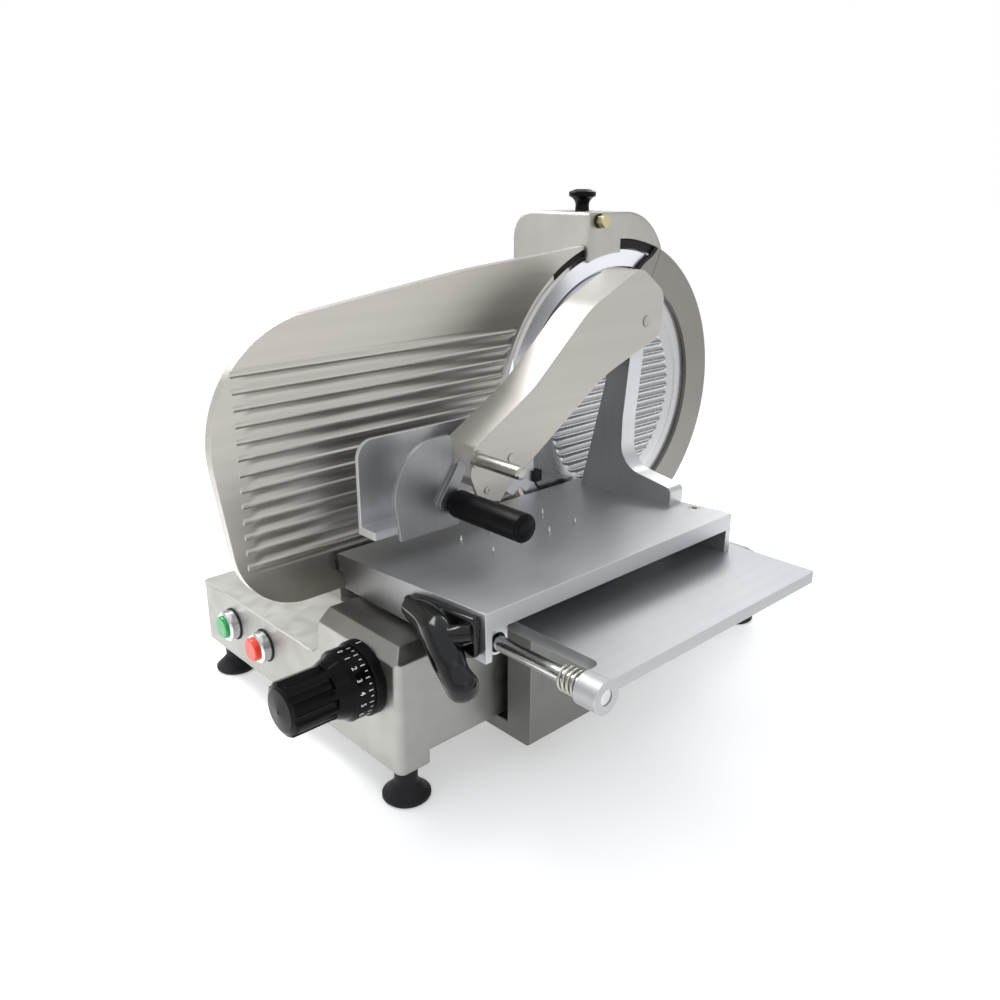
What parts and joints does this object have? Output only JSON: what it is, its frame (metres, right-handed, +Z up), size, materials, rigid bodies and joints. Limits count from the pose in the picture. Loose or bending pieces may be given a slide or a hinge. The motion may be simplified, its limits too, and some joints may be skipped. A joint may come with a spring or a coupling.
{
  "type": "meat slicer",
  "caption": "Straight-feed vertical slicer: hollow base, round blade in a tower, thickness plate and knob, sliding table with spikes, swinging press arm.",
  "frame": {"origin": "on the floor under the middle of the object's footprint", "axes": "+Z up; +Y along the carriage's travel, away from the operator's knob; +X from the blade's flat face towards the product table and tray"},
  "size_m": [0.53, 0.726, 0.5315],
  "materials": {
    "cast_aluminium": "satin blasted casting, clear coated",
    "polished_aluminium": "brushed and anodised",
    "sheet_steel": "mill finish",
    "black_rubber": "moulded",
    "plated_steel": "zinc plated",
    "ground_steel": "ground bright",
    "blade_chrome": "hard chromed and polished",
    "motor_paint": "baked paint",
    "bronze": "sintered",
    "bezel_chrome": "plated",
    "matte_black": "moulded",
    "white_nylon": "machined",
    "belt_rubber": "flat belt",
    "stone": "bonded abrasive",
    "gloss_black": "moulded, polished",
    "green_button": "moulded",
    "red_button": "moulded"
  },
  "bodies": {
    "base": {"base_casting": "cast_aluminium", "bottom_cover": "sheet_steel", "feet": "black_rubber", "foot_studs": "plated_steel", "button_bezels": "bezel_chrome", "contact_blocks": "matte_black", "base_bushes": "matte_black", "gauge_guide_block": "cast_aluminium", "blade_tower": "cast_aluminium", "spindle_bearings": "plated_steel", "tower_bolt": "plated_steel", "bolt_washer": "plated_steel", "motor": "motor_paint", "drive_belt": "belt_rubber", "motor_cover": "cast_aluminium", "blade_cover": "polished_aluminium", "cover_tie_knob": "gloss_black", "ring_guard": "polished_aluminium", "carriage_guide_rod": "ground_steel", "anti_tilt_rail": "sheet_steel", "control_box": "matte_black", "cable_gland": "matte_black"},
    "blade": {"blade": "blade_chrome", "blade_spindle": "ground_steel", "blade_screws": "plated_steel", "blade_pulley": "cast_aluminium"},
    "motor_rotor": {"motor_shaft": "ground_steel", "motor_pulley": "cast_aluminium"},
    "knob": {"thickness_knob": "gloss_black", "thickness_dial": "gloss_black", "knob_shaft": "ground_steel", "spiral_cam": "ground_steel"},
    "gauge": {"gauge_plate": "polished_aluminium", "gauge_bracket": "cast_aluminium", "gauge_slide_bars": "ground_steel", "gauge_screws": "plated_steel"},
    "carriage": {"carriage_arm": "cast_aluminium", "carriage_bushes": "bronze", "slide_pad": "white_nylon", "carriage_tray": "polished_aluminium", "table_slide_rod": "ground_steel", "buffer_spring": "plated_steel"},
    "table": {"product_table": "polished_aluminium", "table_bush": "matte_black", "table_screw": "plated_steel", "table_spikes": "ground_steel", "push_handle": "gloss_black", "arm_column": "polished_aluminium"},
    "arm": {"press_arm": "polished_aluminium", "arm_pins": "ground_steel", "arm_lift_pin": "ground_steel"},
    "presser": {"presser_plate": "polished_aluminium", "presser_handle_rod": "ground_steel", "hand_guard": "polished_aluminium", "presser_handle": "gloss_black"},
    "sharpener": {"sharpener_knob": "gloss_black", "stone_carrier": "ground_steel", "grinding_stone": "stone"},
    "start_button": {"start_button": "green_button"},
    "stop_button": {"stop_button": "red_button"}
  },
  "joints": [
    {"name": "blade_spin", "type": "hinge", "parent": "base", "child": "blade", "pos_m": [-0.047, 0.175, 0.29], "axis": [1, 0, 0], "continuous": true},
    {"name": "motor_spin", "type": "hinge", "parent": "base", "child": "motor_rotor", "pos_m": [-0.147, 0.195, 0.185], "axis": [1, 0, 0], "continuous": true},
    {"name": "gauge_slide", "type": "slide", "parent": "base", "child": "gauge", "axis": [-1, 0, 0], "range_m": [0, 0.015]},
    {"name": "knob_turn", "type": "hinge", "parent": "base", "child": "knob", "pos_m": [0.056, -0.275, 0.122], "axis": [0, -1, 0], "range_deg": [0, 300]},
    {"name": "carriage_slide", "type": "slide", "parent": "base", "child": "carriage", "axis": [0, 1, 0], "range_m": [-0.07, 0.3]},
    {"name": "table_slide", "type": "slide", "parent": "carriage", "child": "table", "axis": [1, 0, 0], "range_m": [0, 0.04]},
    {"name": "arm_swing", "type": "hinge", "parent": "table", "child": "arm", "pos_m": [0.027, 0.116, 0.398], "axis": [-1, 0, 0], "range_deg": [0, 80]},
    {"name": "presser_float", "type": "hinge", "parent": "arm", "child": "presser", "pos_m": [0.013, -0.085, 0.2855], "axis": [1, 0, 0], "range_deg": [-5, 3]},
    {"name": "start_press", "type": "slide", "parent": "base", "child": "start_button", "axis": [0, 1, 0], "range_m": [0, 0.004], "stiffness_N_per_m": 400},
    {"name": "stop_press", "type": "slide", "parent": "base", "child": "stop_button", "axis": [0, 1, 0], "range_m": [0, 0.004], "stiffness_N_per_m": 400},
    {"name": "sharpener_press", "type": "slide", "parent": "base", "child": "sharpener", "axis": [0, 0, -1], "range_m": [0, 0.008], "stiffness_N_per_m": 500, "springref_m": -0.01}
  ],
  "couplings": [
    {"joint": "motor_spin", "follows": "blade_spin", "ratio": 3},
    {"joint": "knob_turn", "follows": "gauge_slide", "rad_per_m": 349.07}
  ]
}
